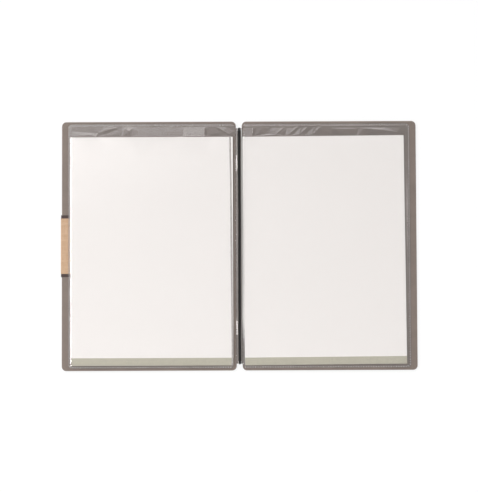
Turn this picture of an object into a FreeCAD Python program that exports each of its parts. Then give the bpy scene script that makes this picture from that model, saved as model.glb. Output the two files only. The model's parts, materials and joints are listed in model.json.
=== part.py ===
import FreeCAD, Part

import os

import Sketcher

# Open A4 menu folder lying flat: two wrapped board covers, a narrow spine strip, an elastic
# loop round the spine that holds a booklet of two clear pockets, and a paper label on the fore edge.
# Millimetres. X runs across the open folder, Y from its foot to its head, and Z up from the table.
# The origin is on the table, under the middle of the spine.

SIZES = {
    # Covers, which are as large as the paper needs
    "corner_radius": 6.0,
    "board_thickness": 1.8,
    "board_clearance": 0.05,
    "skin_thickness": 0.7,
    "edge_round": 0.9,
    "turn_in_width": 18.0,
    "spine_lap": 6.0,
    "window_radius": 2.0,
    "lining_thickness": 0.6,
    "lining_gap": 0.3,
    # Spine
    "spine_width": 6.2,
    "fold_gap": 0.4,
    "notch_depth": 12.2,
    "spine_lining_width": 5.2,
    "spine_lining_thickness": 0.4,
    "spine_end_radius": 1.2,
    # Elastic loop
    "cord_diameter": 3.4,
    "cord_shift": 0.3,
    "cord_clearance": 0.05,
    "cord_end_clearance": 0.1,
    "table_clearance": 0.1,
    "crimp_length": 14.0,
    "crimp_wall": 0.4,
    "crimp_fit": 0.03,
    "crimp_press": 0.2,
    "crimp_press_length": 3.0,
    "crimp_press_spacing": 6.5,
    # Clear booklet
    "film_thickness": 0.2,
    "gutter_film_width": 4.6,
    "leaf_offset": 1.3,
    "pocket_side_room": 8.05,
    "pocket_head_room": 20.6,
    "leaf_fore_margin": 8.3,
    "leaf_head_margin": 3.2,
    "leaf_corner_radius": 5.0,
    "leaf_clearance": 0.15,
    "crease_radius": 0.2,
    "weld_width": 2.2,
    "weld_slope": 0.8,
    "left_mouth_setback": 5.5,
    "right_mouth_setback": 1.7,
    "pocket_clearance": 0.1,
    # Paper sheets
    "sheet_width": 210.0,
    "sheet_height": 297.0,
    "sheet_thickness": 0.25,
    "left_sheet_inset": 3.7,
    "right_sheet_inset": 2.5,
    "right_sheet_skew": 0.4,
    "sheet_foot": 0.4,
    # Paper label on the left fore edge
    "label_height": 72.0,
    "backing_height": 80.5,
    "kraft_thickness": 0.2,
    "backing_thickness": 0.15,
    "label_clearance": 0.1,
    "label_slack": 0.9,
    "label_fold_radius": 0.8,
    "inner_flap": 45.0,
    "outer_flap": 45.0,
}

doc = FreeCAD.newDocument("MenuFolder")
sheet = doc.addObject("Spreadsheet::Sheet", "Sizes")
for row, (alias, value) in enumerate(SIZES.items(), start=1):
    sheet.set(f"A{row}", alias)
    sheet.set(f"B{row}", str(value))
    sheet.setAlias(f"B{row}", alias)
doc.recompute()


def size(alias):
    """The expression that reads one driving size."""
    return f"Sizes.{alias}"


def number(expression):
    """The present value of an expression on the driving sizes."""
    return float(sheet.evalExpression(expression))


def total(*terms):
    """One expression that adds its terms up."""
    return "(" + " + ".join(terms) + ")"


# Places along X, measured from the middle of the spine
FOLD_X = "(Sizes.spine_width / 2)"
PANEL_INNER_X = "(Sizes.spine_width / 2 + Sizes.skin_thickness / 2 + Sizes.fold_gap)"
LEAF_INNER_X = total(FOLD_X, size("leaf_offset"))
LEAF_OUTER_X = total(LEAF_INNER_X, size("sheet_width"), size("pocket_side_room"))
PANEL_OUTER_X = total(LEAF_OUTER_X, size("leaf_fore_margin"))
MOUTH_X = {
    "left": total(LEAF_INNER_X, size("left_mouth_setback")),
    "right": total(LEAF_INNER_X, size("right_mouth_setback")),
}

# Lengths along Y
LEAF_HEIGHT = total(size("sheet_height"), size("pocket_head_room"))
COVER_HEIGHT = f"({LEAF_HEIGHT} + 2 * Sizes.leaf_head_margin)"
STRIP_LENGTH = f"({COVER_HEIGHT} - 2 * Sizes.notch_depth)"

# Levels along Z, measured from the table
PANEL_THICKNESS = "(2 * Sizes.skin_thickness + Sizes.board_thickness)"
LABEL_THICKNESS = "(Sizes.kraft_thickness + Sizes.backing_thickness)"
COVER_Z = total(LABEL_THICKNESS, size("label_clearance"))
PANEL_TOP_Z = total(COVER_Z, PANEL_THICKNESS)
OUTER_RUN_Z = "(Sizes.table_clearance + Sizes.cord_diameter / 2)"
STRIP_Z = "(Sizes.table_clearance + Sizes.cord_diameter + Sizes.cord_clearance)"
FOLD_Z = f"({STRIP_Z} + Sizes.skin_thickness / 2)"
SPINE_LINING_Z = total(STRIP_Z, size("skin_thickness"))
GUTTER_FILM_Z = total(SPINE_LINING_Z, size("spine_lining_thickness"))
INNER_RUN_Z = f"({GUTTER_FILM_Z} + Sizes.film_thickness + Sizes.cord_clearance + Sizes.cord_diameter / 2)"
LOOP_HEIGHT = f"({INNER_RUN_Z} - {OUTER_RUN_Z})"
RIGHT_LEAF_Z = total(PANEL_TOP_Z, size("leaf_clearance"))
LEFT_LEAF_Z = total(RIGHT_LEAF_Z, LABEL_THICKNESS, size("label_clearance"))
LEAF_Z = {"left": LEFT_LEAF_Z, "right": RIGHT_LEAF_Z}
POCKET_GAP = "(Sizes.sheet_thickness + 2 * Sizes.pocket_clearance)"

# The left-hand pieces are the right-hand ones turned half round about the spine's middle.
HALF_TURN = FreeCAD.Rotation(FreeCAD.Vector(0, 0, 1), 180)
SIDE_TURN = {"left": HALF_TURN, "right": FreeCAD.Rotation()}

parts = []


def new_body(label, level, turn=FreeCAD.Rotation()):
    """A sub-part whose own zero level stands at the given height above the table."""
    body = doc.addObject("PartDesign::Body", label)
    body.Label = label
    body.Placement = FreeCAD.Placement(FreeCAD.Vector(0, 0, 0), turn)
    body.setExpression("Placement.Base.z", level)
    parts.append(body)
    return body


def new_sketch(body, name, role, offset=None):
    """A sketch on one of the body's own origin planes, raised by an expression if one is given."""
    sketch = body.newObject("Sketcher::SketchObject", f"{body.Name}_{name}")
    plane = next(item for item in body.Origin.OriginFeatures if item.Role == role)
    sketch.AttachmentSupport = [(plane, "")]
    sketch.MapMode = "FlatFace"
    if offset:
        sketch.setExpression("AttachmentOffset.Base.z", offset)
    return sketch


def bind(sketch, kind, *arguments, expression):
    """A dimension of a sketch that follows an expression."""
    index = sketch.addConstraint(Sketcher.Constraint(kind, *arguments, number(expression)))
    sketch.setExpression(f"Constraints[{index}]", expression)


def point(x, y):
    return FreeCAD.Vector(x, y, 0)


def line(sketch, start, end):
    return sketch.addGeometry(Part.LineSegment(point(*start), point(*end)), False)


def arc(sketch, centre, radius, start_angle, end_angle):
    """A counter-clockwise arc, with its angles in quarter turns."""
    quarter = FreeCAD.Units.parseQuantity("90 deg").getValueAs("rad").Value
    circle = Part.Circle(point(*centre), FreeCAD.Vector(0, 0, 1), radius)
    return sketch.addGeometry(
        Part.ArcOfCircle(circle, start_angle * quarter, end_angle * quarter), False
    )


def rounded_rectangle(sketch, near, far, height, radius):
    """A rounded rectangle from X = near to X = far, centred on the X axis."""
    x0, x1, half, r = number(near), number(far), number(height) / 2, number(radius)
    foot = line(sketch, (x0 + r, -half), (x1 - r, -half))
    side = line(sketch, (x1, -half + r), (x1, half - r))
    head = line(sketch, (x1 - r, half), (x0 + r, half))
    back = line(sketch, (x0, half - r), (x0, -half + r))
    corners = [
        arc(sketch, (x1 - r, -half + r), r, 3, 4),
        arc(sketch, (x1 - r, half - r), r, 0, 1),
        arc(sketch, (x0 + r, half - r), r, 1, 2),
        arc(sketch, (x0 + r, -half + r), r, 2, 3),
    ]
    sides = [foot, side, head, back]
    for index, corner in enumerate(corners):
        after = sides[(index + 1) % len(sides)]
        sketch.addConstraint(Sketcher.Constraint("Tangent", sides[index], 2, corner, 1))
        sketch.addConstraint(Sketcher.Constraint("Tangent", corner, 2, after, 1))
    for corner in corners[1:]:
        sketch.addConstraint(Sketcher.Constraint("Equal", corners[0], corner))
    for level in (foot, head):
        sketch.addConstraint(Sketcher.Constraint("Horizontal", level))
    sketch.addConstraint(Sketcher.Constraint("Vertical", side))
    sketch.addConstraint(Sketcher.Constraint("Symmetric", back, 1, back, 2, -1))
    bind(sketch, "Radius", corners[0], expression=radius)
    bind(sketch, "DistanceX", -1, 1, back, 1, expression=near)
    bind(sketch, "DistanceX", -1, 1, side, 1, expression=far)
    bind(sketch, "DistanceY", foot, 1, head, 2, expression=height)


def polygon(sketch, corners):
    """A closed outline through corners that are each a pair of expressions, both positive or zero."""
    places = [(number(x), number(y)) for x, y in corners]
    lines = [line(sketch, a, b) for a, b in zip(places, places[1:] + places[:1])]
    for first, second in zip(lines, lines[1:] + lines[:1]):
        sketch.addConstraint(Sketcher.Constraint("Coincident", first, 2, second, 1))
    for edge, (x, y) in zip(lines, corners):
        bind(sketch, "DistanceX", -1, 1, edge, 1, expression=x)
        bind(sketch, "DistanceY", -1, 1, edge, 1, expression=y)


def slot(sketch, length, radius):
    """A slot along the sketch's X axis, centred on the origin, with round ends on its end points."""
    half, r = number(length) / 2, number(radius)
    low = line(sketch, (-half, -r), (half, -r))
    right = arc(sketch, (half, 0), r, 3, 5)
    high = line(sketch, (half, r), (-half, r))
    left = arc(sketch, (-half, 0), r, 1, 3)
    outline = [low, right, high, left]
    for first, second in zip(outline, outline[1:] + outline[:1]):
        sketch.addConstraint(Sketcher.Constraint("Tangent", first, 2, second, 1))
    sketch.addConstraint(Sketcher.Constraint("Equal", left, right))
    sketch.addConstraint(Sketcher.Constraint("Symmetric", left, 3, right, 3, -1, 1))
    sketch.addConstraint(Sketcher.Constraint("Horizontal", low))
    bind(sketch, "DistanceX", left, 3, right, 3, expression=length)
    bind(sketch, "Radius", right, expression=radius)


def pad(body, name, sketch, length, both_ways=False):
    feature = body.newObject("PartDesign::Pad", f"{body.Name}_{name}")
    feature.Profile = sketch
    feature.setExpression("Length", length)
    if both_ways:
        feature.SideType = "Symmetric"
    doc.recompute()
    return feature


def pocket(body, name, sketch, length):
    """A cut from the sketch's plane upwards, which has to take material away."""
    before = body.Shape.Volume
    feature = body.newObject("PartDesign::Pocket", f"{body.Name}_{name}")
    feature.Profile = sketch
    feature.Reversed = True
    feature.setExpression("Length", length)
    doc.recompute()
    if body.Shape.Volume >= before:
        raise RuntimeError(f"{feature.Name} cuts nothing")
    return feature


def plate(label, level, near, far, height, radius, thickness, turn=FreeCAD.Rotation()):
    """A flat piece with rounded corners."""
    body = new_body(label, level, turn)
    sketch = new_sketch(body, "outline", "XY_Plane")
    rounded_rectangle(sketch, near, far, height, radius)
    pad(body, "plate", sketch, thickness)
    return body


def rim_edges(shape, level):
    """Names of the edges round the outside of a shape's flat face at one level."""
    faces = [
        face
        for face in shape.Faces
        if abs(face.BoundBox.ZMin - level) < 1e-6 and abs(face.BoundBox.ZMax - level) < 1e-6
    ]
    widest = max(faces, key=lambda face: face.BoundBox.DiagonalLength)
    rim = widest.OuterWire.Edges
    return [
        f"Edge{index}"
        for index, edge in enumerate(shape.Edges, start=1)
        if any(edge.isSame(other) for other in rim)
    ]


# Wrapped skin of a cover: a shallow tray round the board, with its edges turned in over the inside.
WINDOW_NEAR_X = total(PANEL_INNER_X, size("spine_lap"))
WINDOW_FAR_X = f"({PANEL_OUTER_X} - Sizes.turn_in_width)"
WINDOW_HEIGHT = f"({COVER_HEIGHT} - 2 * Sizes.turn_in_width)"
BOARD_LEVEL = size("skin_thickness")
TURN_IN_LEVEL = total(size("skin_thickness"), size("board_thickness"))


def outer_skin(side):
    body = new_body(f"{side}_outer_skin", COVER_Z, SIDE_TURN[side])
    outline = new_sketch(body, "outline", "XY_Plane")
    rounded_rectangle(
        outline, PANEL_INNER_X, PANEL_OUTER_X, COVER_HEIGHT, size("corner_radius")
    )
    pad(body, "wrap", outline, TURN_IN_LEVEL)
    hollow = new_sketch(body, "hollow_outline", "XY_Plane", BOARD_LEVEL)
    rounded_rectangle(
        hollow,
        total(PANEL_INNER_X, size("skin_thickness")),
        f"({PANEL_OUTER_X} - Sizes.skin_thickness)",
        f"({COVER_HEIGHT} - 2 * Sizes.skin_thickness)",
        "(Sizes.corner_radius - Sizes.skin_thickness)",
    )
    pocket(body, "hollow", hollow, size("board_thickness"))
    turn_in = new_sketch(body, "turn_in_outline", "XY_Plane", TURN_IN_LEVEL)
    rounded_rectangle(
        turn_in, PANEL_INNER_X, PANEL_OUTER_X, COVER_HEIGHT, size("corner_radius")
    )
    rounded_rectangle(turn_in, WINDOW_NEAR_X, WINDOW_FAR_X, WINDOW_HEIGHT, size("window_radius"))
    top = pad(body, "turn_in", turn_in, size("skin_thickness"))
    rounding = body.newObject("PartDesign::Fillet", f"{body.Name}_edge_round")
    rims = rim_edges(top.Shape, 0.0) + rim_edges(top.Shape, number(PANEL_THICKNESS))
    rounding.Base = (top, rims)
    rounding.setExpression("Radius", size("edge_round"))


def board(side):
    inset = total(size("skin_thickness"), size("board_clearance"))
    plate(
        f"{side}_board",
        total(COVER_Z, BOARD_LEVEL),
        total(PANEL_INNER_X, inset),
        f"({PANEL_OUTER_X} - {inset})",
        f"({COVER_HEIGHT} - 2 * {inset})",
        f"(Sizes.corner_radius - {inset})",
        size("board_thickness"),
        SIDE_TURN[side],
    )


def lining(side):
    plate(
        f"{side}_lining",
        total(COVER_Z, TURN_IN_LEVEL),
        total(WINDOW_NEAR_X, size("lining_gap")),
        f"({WINDOW_FAR_X} - Sizes.lining_gap)",
        f"({WINDOW_HEIGHT} - 2 * Sizes.lining_gap)",
        size("window_radius"),
        size("lining_thickness"),
        SIDE_TURN[side],
    )


# The strip's long edges are round about the two fold lines, so the covers turn close round them.
def spine_skin():
    body = new_body("spine_skin", FOLD_Z)
    section = new_sketch(body, "section", "XZ_Plane")
    slot(section, size("spine_width"), "(Sizes.skin_thickness / 2)")
    pad(body, "strip", section, STRIP_LENGTH, both_ways=True)


def centred_strip(label, level, width, thickness):
    """A flat strip along the spine with rounded ends."""
    body = plate(
        label, level, "0", width, STRIP_LENGTH, size("spine_end_radius"), thickness
    )
    body.setExpression("Placement.Base.x", f"-{width} / 2")


# The elastic is one closed loop in the plane of the spine: an inner run, an outer run and two round
# ends. A crimp on the outer run grips a neck where the two cut ends of the elastic meet.
NECK_RADIUS = "(Sizes.cord_diameter / 2 - Sizes.crimp_wall)"
RUN_HALF_LENGTH = f"({STRIP_LENGTH} / 2 + Sizes.cord_end_clearance)"


def elastic_cord():
    body = new_body("elastic_cord", OUTER_RUN_Z)
    body.setExpression("Placement.Base.x", size("cord_shift"))
    path = new_sketch(body, "loop", "YZ_Plane")
    half, height = number(RUN_HALF_LENGTH), number(LOOP_HEIGHT)
    first = line(path, (0, 0), (half, 0))
    head = arc(path, (half, height / 2), height / 2, 3, 5)
    upper = line(path, (half, height), (-half, height))
    foot = arc(path, (-half, height / 2), height / 2, 1, 3)
    last = line(path, (-half, 0), (0, 0))
    loop = [first, head, upper, foot]
    for one, other in zip(loop, loop[1:] + [last]):
        path.addConstraint(Sketcher.Constraint("Tangent", one, 2, other, 1))
    path.addConstraint(Sketcher.Constraint("Coincident", first, 1, -1, 1))
    path.addConstraint(Sketcher.Constraint("Coincident", last, 2, -1, 1))
    path.addConstraint(Sketcher.Constraint("Horizontal", first))
    path.addConstraint(Sketcher.Constraint("Horizontal", last))
    bind(path, "DistanceX", -1, 1, first, 2, expression=RUN_HALF_LENGTH)
    bind(path, "DistanceX", last, 1, -1, 1, expression=RUN_HALF_LENGTH)
    bind(path, "DistanceY", first, 2, upper, 1, expression=LOOP_HEIGHT)
    section = new_sketch(body, "section", "XZ_Plane")
    circle = Part.Circle(point(0, 0), FreeCAD.Vector(0, 0, 1), number(size("cord_diameter")) / 2)
    ring = section.addGeometry(circle, False)
    section.addConstraint(Sketcher.Constraint("Coincident", ring, 3, -1, 1))
    bind(section, "Diameter", ring, expression=size("cord_diameter"))
    sweep = body.newObject("PartDesign::AdditivePipe", "elastic_cord_sweep")
    sweep.Profile = section
    sweep.Spine = path
    doc.recompute()
    whole = body.Shape.Volume
    neck = new_sketch(body, "neck_section", "YZ_Plane")
    polygon(
        neck,
        [
            ("0", NECK_RADIUS),
            ("(Sizes.crimp_length / 2)", NECK_RADIUS),
            ("(Sizes.crimp_length / 2)", size("cord_diameter")),
            ("0", size("cord_diameter")),
        ],
    )
    groove = body.newObject("PartDesign::Groove", "elastic_cord_neck_half")
    groove.Profile = neck
    groove.ReferenceAxis = (neck, ["H_Axis"])
    groove.Angle = 360
    doc.recompute()
    mirrored = body.newObject("PartDesign::Mirrored", "elastic_cord_neck")
    mirrored.Originals = [groove]
    mirrored.MirrorPlane = (neck, ["V_Axis"])
    body.Tip = mirrored
    doc.recompute()
    if body.Shape.Volume >= whole:
        raise RuntimeError("the neck of the elastic cuts nothing")


def cord_crimp():
    body = new_body("cord_crimp", OUTER_RUN_Z)
    body.setExpression("Placement.Base.x", size("cord_shift"))
    section = new_sketch(body, "section", "YZ_Plane")
    bore = total(NECK_RADIUS, size("crimp_fit"))
    rim = "(Sizes.cord_diameter / 2)"
    pressed = f"({rim} - Sizes.crimp_press)"
    press_near = "(Sizes.crimp_press_spacing / 2 - Sizes.crimp_press_length / 2)"
    press_far = "(Sizes.crimp_press_spacing / 2 + Sizes.crimp_press_length / 2)"
    press_step = total(press_near, size("crimp_press"))
    press_back = f"({press_far} - Sizes.crimp_press)"
    end = "(Sizes.crimp_length / 2)"
    polygon(
        section,
        [
            ("0", bore),
            (end, bore),
            (end, rim),
            (press_far, rim),
            (press_back, pressed),
            (press_step, pressed),
            (press_near, rim),
            ("0", rim),
        ],
    )
    half = body.newObject("PartDesign::Revolution", "cord_crimp_half")
    half.Profile = section
    half.ReferenceAxis = (section, ["H_Axis"])
    half.Angle = 360
    doc.recompute()
    mirrored = body.newObject("PartDesign::Mirrored", "cord_crimp_whole")
    mirrored.Originals = [half]
    mirrored.MirrorPlane = (section, ["V_Axis"])
    body.Tip = mirrored
    doc.recompute()


# A pocket is a flat back film and a front film that is welded to it along the head, fore edge and
# foot. The front film steps up over the paper and ends in a free edge, the mouth, beside the spine.
def back_film(side):
    body = plate(
        f"{side}_back_film",
        LEAF_Z[side],
        LEAF_INNER_X,
        LEAF_OUTER_X,
        LEAF_HEIGHT,
        size("leaf_corner_radius"),
        size("film_thickness"),
        SIDE_TURN[side],
    )
    crease = new_sketch(body, "crease_section", "XZ_Plane")
    middle = "(Sizes.film_thickness / 2)"
    centre = point(number(LEAF_INNER_X), number(middle))
    circle = Part.Circle(centre, FreeCAD.Vector(0, 0, 1), number(size("crease_radius")))
    bead = crease.addGeometry(circle, False)
    bind(crease, "Radius", bead, expression=size("crease_radius"))
    bind(crease, "DistanceX", -1, 1, bead, 3, expression=LEAF_INNER_X)
    bind(crease, "DistanceY", -1, 1, bead, 3, expression=middle)
    pad(body, "crease", crease, f"({LEAF_HEIGHT} - 2 * Sizes.leaf_corner_radius)", both_ways=True)


def front_film(side):
    body = new_body(
        f"{side}_front_film", total(LEAF_Z[side], size("film_thickness")), SIDE_TURN[side]
    )
    flange = new_sketch(body, "weld_outline", "XY_Plane")
    rounded_rectangle(
        flange, LEAF_INNER_X, LEAF_OUTER_X, LEAF_HEIGHT, size("leaf_corner_radius")
    )
    pad(body, "weld", flange, size("film_thickness"))

    def ring(name, level, inset):
        """An outline inside the welds at one level, which runs past the mouth on the spine's side."""
        outline = new_sketch(body, name, "XY_Plane", level)
        rounded_rectangle(
            outline,
            size("leaf_offset"),
            f"({LEAF_OUTER_X} - {inset})",
            f"({LEAF_HEIGHT} - 2 * {inset})",
            "(Sizes.leaf_corner_radius - Sizes.weld_width)",
        )
        return outline

    def loft(kind, name, low, high):
        feature = body.newObject(kind, f"{body.Name}_{name}")
        feature.Profile = low
        feature.Sections = [high]
        feature.Ruled = True
        doc.recompute()

    weld_inner = size("weld_width")
    step_inner = total(size("weld_width"), size("weld_slope"))
    inside_low = total(weld_inner, size("film_thickness"))
    inside_high = total(step_inner, size("film_thickness"))
    outside_top = total(POCKET_GAP, size("film_thickness"))
    loft(
        "PartDesign::AdditiveLoft",
        "step",
        ring("step_foot", "0", weld_inner),
        ring("step_head", outside_top, step_inner),
    )
    loft(
        "PartDesign::SubtractiveLoft",
        "pocket",
        ring("pocket_foot", "0", inside_low),
        ring("pocket_head", POCKET_GAP, inside_high),
    )
    mouth = new_sketch(body, "mouth_outline", "XY_Plane")
    edge = MOUTH_X[side]
    polygon(mouth, [("0", "0"), (edge, "0"), (edge, COVER_HEIGHT), ("0", COVER_HEIGHT)])
    mouth.setExpression("AttachmentOffset.Base.y", f"-{COVER_HEIGHT} / 2")
    pocket(body, "mouth", mouth, COVER_HEIGHT)


def paper_sheet(side, near, skew):
    level = total(LEAF_Z[side], size("film_thickness"), size("pocket_clearance"))
    body = new_body(f"{side}_sheet", level)
    outline = new_sketch(body, "outline", "XY_Plane")
    wide, high = size("sheet_width"), size("sheet_height")
    polygon(outline, [("0", "0"), (wide, "0"), (wide, high), ("0", high)])
    pad(body, "sheet", outline, size("sheet_thickness"))
    body.setExpression("Placement.Base.x", near)
    foot = "Sizes.weld_width + Sizes.weld_slope + Sizes.film_thickness + Sizes.sheet_foot"
    body.setExpression("Placement.Base.y", f"{foot} - {LEAF_HEIGHT} / 2")
    body.setExpression("Placement.Rotation.Angle", skew)


# The label is a kraft strip over a taller dark backing strip, both folded round the cover's edge.
def folded_strip(label, lift, thickness, height):
    """A strip of paper folded round the fore edge. Lift is the paper that lies between it and the cover."""
    body = new_body(label, "0", SIDE_TURN["left"])
    section = new_sketch(body, "section", "XZ_Plane")
    gap = total(size("label_clearance"), lift)
    under = f"({COVER_Z} - {gap})"
    over = total(PANEL_TOP_Z, gap)
    wall = total(PANEL_OUTER_X, size("label_slack"), lift)
    inner_radius = total(size("label_fold_radius"), lift)
    outer_radius = total(inner_radius, thickness)
    low_end = f"({PANEL_OUTER_X} - Sizes.outer_flap)"
    high_end = f"({PANEL_OUTER_X} - Sizes.inner_flap)"
    t, r = number(thickness), number(inner_radius)
    x_low, x_high, x_wall = number(low_end), number(high_end), number(wall)
    z_low, z_high = number(under), number(over)
    low_outer = line(section, (x_low, z_low - t), (x_wall - r, z_low - t))
    low_fold = arc(section, (x_wall - r, z_low + r), r + t, 3, 4)
    wall_outer = line(section, (x_wall + t, z_low + r), (x_wall + t, z_high - r))
    high_fold = arc(section, (x_wall - r, z_high - r), r + t, 0, 1)
    high_outer = line(section, (x_wall - r, z_high + t), (x_high, z_high + t))
    high_tip = line(section, (x_high, z_high + t), (x_high, z_high))
    high_inner = line(section, (x_high, z_high), (x_wall - r, z_high))
    high_bend = arc(section, (x_wall - r, z_high - r), r, 0, 1)
    wall_inner = line(section, (x_wall, z_high - r), (x_wall, z_low + r))
    low_bend = arc(section, (x_wall - r, z_low + r), r, 3, 4)
    low_inner = line(section, (x_wall - r, z_low), (x_low, z_low))
    low_tip = line(section, (x_low, z_low), (x_low, z_low - t))
    outside = [low_outer, low_fold, wall_outer, high_fold, high_outer]
    for one, other in zip(outside, outside[1:]):
        section.addConstraint(Sketcher.Constraint("Tangent", one, 2, other, 1))
    section.addConstraint(Sketcher.Constraint("Tangent", high_inner, 2, high_bend, 2))
    section.addConstraint(Sketcher.Constraint("Tangent", high_bend, 1, wall_inner, 1))
    section.addConstraint(Sketcher.Constraint("Tangent", wall_inner, 2, low_bend, 2))
    section.addConstraint(Sketcher.Constraint("Tangent", low_bend, 1, low_inner, 1))
    for one, other in [
        (high_outer, high_tip),
        (high_tip, high_inner),
        (low_inner, low_tip),
        (low_tip, low_outer),
    ]:
        section.addConstraint(Sketcher.Constraint("Coincident", one, 2, other, 1))
    for upright in (wall_outer, high_tip, low_tip):
        section.addConstraint(Sketcher.Constraint("Vertical", upright))
    for level in (high_inner, low_inner):
        section.addConstraint(Sketcher.Constraint("Horizontal", level))
    bind(section, "DistanceX", -1, 1, low_tip, 1, expression=low_end)
    bind(section, "DistanceX", -1, 1, high_tip, 1, expression=high_end)
    bind(section, "DistanceX", -1, 1, wall_inner, 1, expression=wall)
    bind(section, "DistanceX", wall_inner, 1, wall_outer, 2, expression=thickness)
    bind(section, "DistanceY", -1, 1, low_inner, 1, expression=under)
    bind(section, "DistanceY", -1, 1, high_inner, 1, expression=over)
    bind(section, "DistanceY", high_tip, 2, high_tip, 1, expression=thickness)
    bind(section, "DistanceY", low_tip, 2, low_tip, 1, expression=thickness)
    bind(section, "Radius", high_bend, expression=inner_radius)
    bind(section, "Radius", low_bend, expression=inner_radius)
    bind(section, "Radius", high_fold, expression=outer_radius)
    bind(section, "Radius", low_fold, expression=outer_radius)
    pad(body, "strip", section, height, both_ways=True)


for side in ("left", "right"):
    outer_skin(side)
    board(side)
    lining(side)
    back_film(side)
    front_film(side)

spine_skin()
centred_strip(
    "spine_lining", SPINE_LINING_Z, size("spine_lining_width"), size("spine_lining_thickness")
)
centred_strip("gutter_film", GUTTER_FILM_Z, size("gutter_film_width"), size("film_thickness"))
elastic_cord()
cord_crimp()

left_near = f"-({LEAF_INNER_X} + Sizes.left_sheet_inset + Sizes.sheet_width)"
right_near = total(LEAF_INNER_X, size("right_sheet_inset"))
paper_sheet("left", left_near, "0")
paper_sheet("right", right_near, size("right_sheet_skew"))

folded_strip("label_backing", "0", size("backing_thickness"), size("backing_height"))
folded_strip("kraft_label", size("backing_thickness"), size("kraft_thickness"), size("label_height"))

doc.recompute()
for item in doc.Objects:
    if "Invalid" in item.State or "Error" in item.State:
        raise RuntimeError(f"{item.Name} failed: {item.State}")
for body in parts:
    if body.Shape.isNull() or not body.Shape.isValid():
        raise RuntimeError(f"{body.Label} has no valid shape")

os.makedirs("parts", exist_ok=True)
for body in parts:
    body.Shape.exportStep(f"parts/{body.Label}.step")
    print(f"{body.Label}: {body.Shape.Volume:.1f} mm3, {len(body.Shape.Solids)} solid")
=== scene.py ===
import json
import math
import random

import bmesh
import bpy
from bpy.props import FloatProperty, FloatVectorProperty, IntProperty, PointerProperty
from mathutils import Matrix, Vector
from mathutils.geometry import delaunay_2d_cdt


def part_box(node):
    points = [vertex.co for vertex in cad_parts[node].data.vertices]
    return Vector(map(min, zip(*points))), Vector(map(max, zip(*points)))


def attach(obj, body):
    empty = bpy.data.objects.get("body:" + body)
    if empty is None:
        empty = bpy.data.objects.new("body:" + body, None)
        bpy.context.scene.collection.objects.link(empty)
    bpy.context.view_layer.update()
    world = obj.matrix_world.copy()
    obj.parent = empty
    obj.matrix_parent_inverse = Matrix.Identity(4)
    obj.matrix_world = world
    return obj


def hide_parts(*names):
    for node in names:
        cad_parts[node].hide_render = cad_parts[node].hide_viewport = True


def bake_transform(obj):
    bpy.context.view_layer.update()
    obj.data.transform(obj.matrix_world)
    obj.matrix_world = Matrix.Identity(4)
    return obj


bl_info = {
    "name": "Menu Folder Looks",
    "version": (1, 0, 0),
    "blender": (4, 5, 0),
    "location": "3D View > Sidebar > Menu Folder",
    "description": "Dresses a packed menu folder in leatherette, clear film, paper, elastic and kraft",
    "category": "Object",
}

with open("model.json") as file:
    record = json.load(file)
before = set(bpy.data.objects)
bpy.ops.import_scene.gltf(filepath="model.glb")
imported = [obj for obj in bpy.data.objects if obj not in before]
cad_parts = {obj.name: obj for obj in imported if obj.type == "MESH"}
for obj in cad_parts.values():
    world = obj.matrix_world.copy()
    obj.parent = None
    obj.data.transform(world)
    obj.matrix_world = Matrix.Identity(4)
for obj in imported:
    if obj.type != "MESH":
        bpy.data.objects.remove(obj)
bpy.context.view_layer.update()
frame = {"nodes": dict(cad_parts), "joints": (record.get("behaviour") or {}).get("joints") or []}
MM = 0.001
SIDES = ("left", "right")
OUTWARD = {"left": -1.0, "right": 1.0}


def box_mm(node):
    """Lowest and highest corner of a CAD node, in millimetres."""
    low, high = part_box(node)
    return [value / MM for value in low], [value / MM for value in high]


SKIN_LOW, SKIN_HIGH = box_mm("right_outer_skin")
STRIP_LOW, STRIP_HIGH = box_mm("spine_skin")
CORD_LOW, CORD_HIGH = box_mm("elastic_cord")
CREASE = next(joint["pos_m"][0] for joint in frame["joints"] if joint["name"] == "right_leaf_turn") / MM
LEFT_SHEET_LOW, LEFT_SHEET_HIGH = box_mm("left_sheet")
RIGHT_SHEET_LOW, RIGHT_SHEET_HIGH = box_mm("right_sheet")
SHEET_WIDTH = LEFT_SHEET_HIGH[0] - LEFT_SHEET_LOW[0]
SHEET_HEIGHT = LEFT_SHEET_HIGH[1] - LEFT_SHEET_LOW[1]
SHEET_HEAD = LEFT_SHEET_HIGH[1]
RIGHT_SKEW = (RIGHT_SHEET_HIGH[0] - RIGHT_SHEET_LOW[0] - SHEET_WIDTH) / SHEET_HEIGHT

# Measures that the pieces of film share, in millimetres. Above the loose head a film is free of its sheet,
# and a hair gap keeps two faces apart.
LEAF_CORNER = 5.0
CREASE_RADIUS = 0.2
HAIR_GAP = 0.01
LOOSE_HEAD = 143.0


def length(name, description, default_mm):
    """A length property whose default is given in millimetres."""
    return FloatProperty(
        name=name, description=description, default=default_mm * MM, min=0.0, unit="LENGTH", precision=5
    )


def colour(name, description, default):
    """A colour property in scene-linear values."""
    return FloatVectorProperty(
        name=name, description=description, default=default, size=3, min=0.0, max=1.0, subtype="COLOR"
    )


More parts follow.
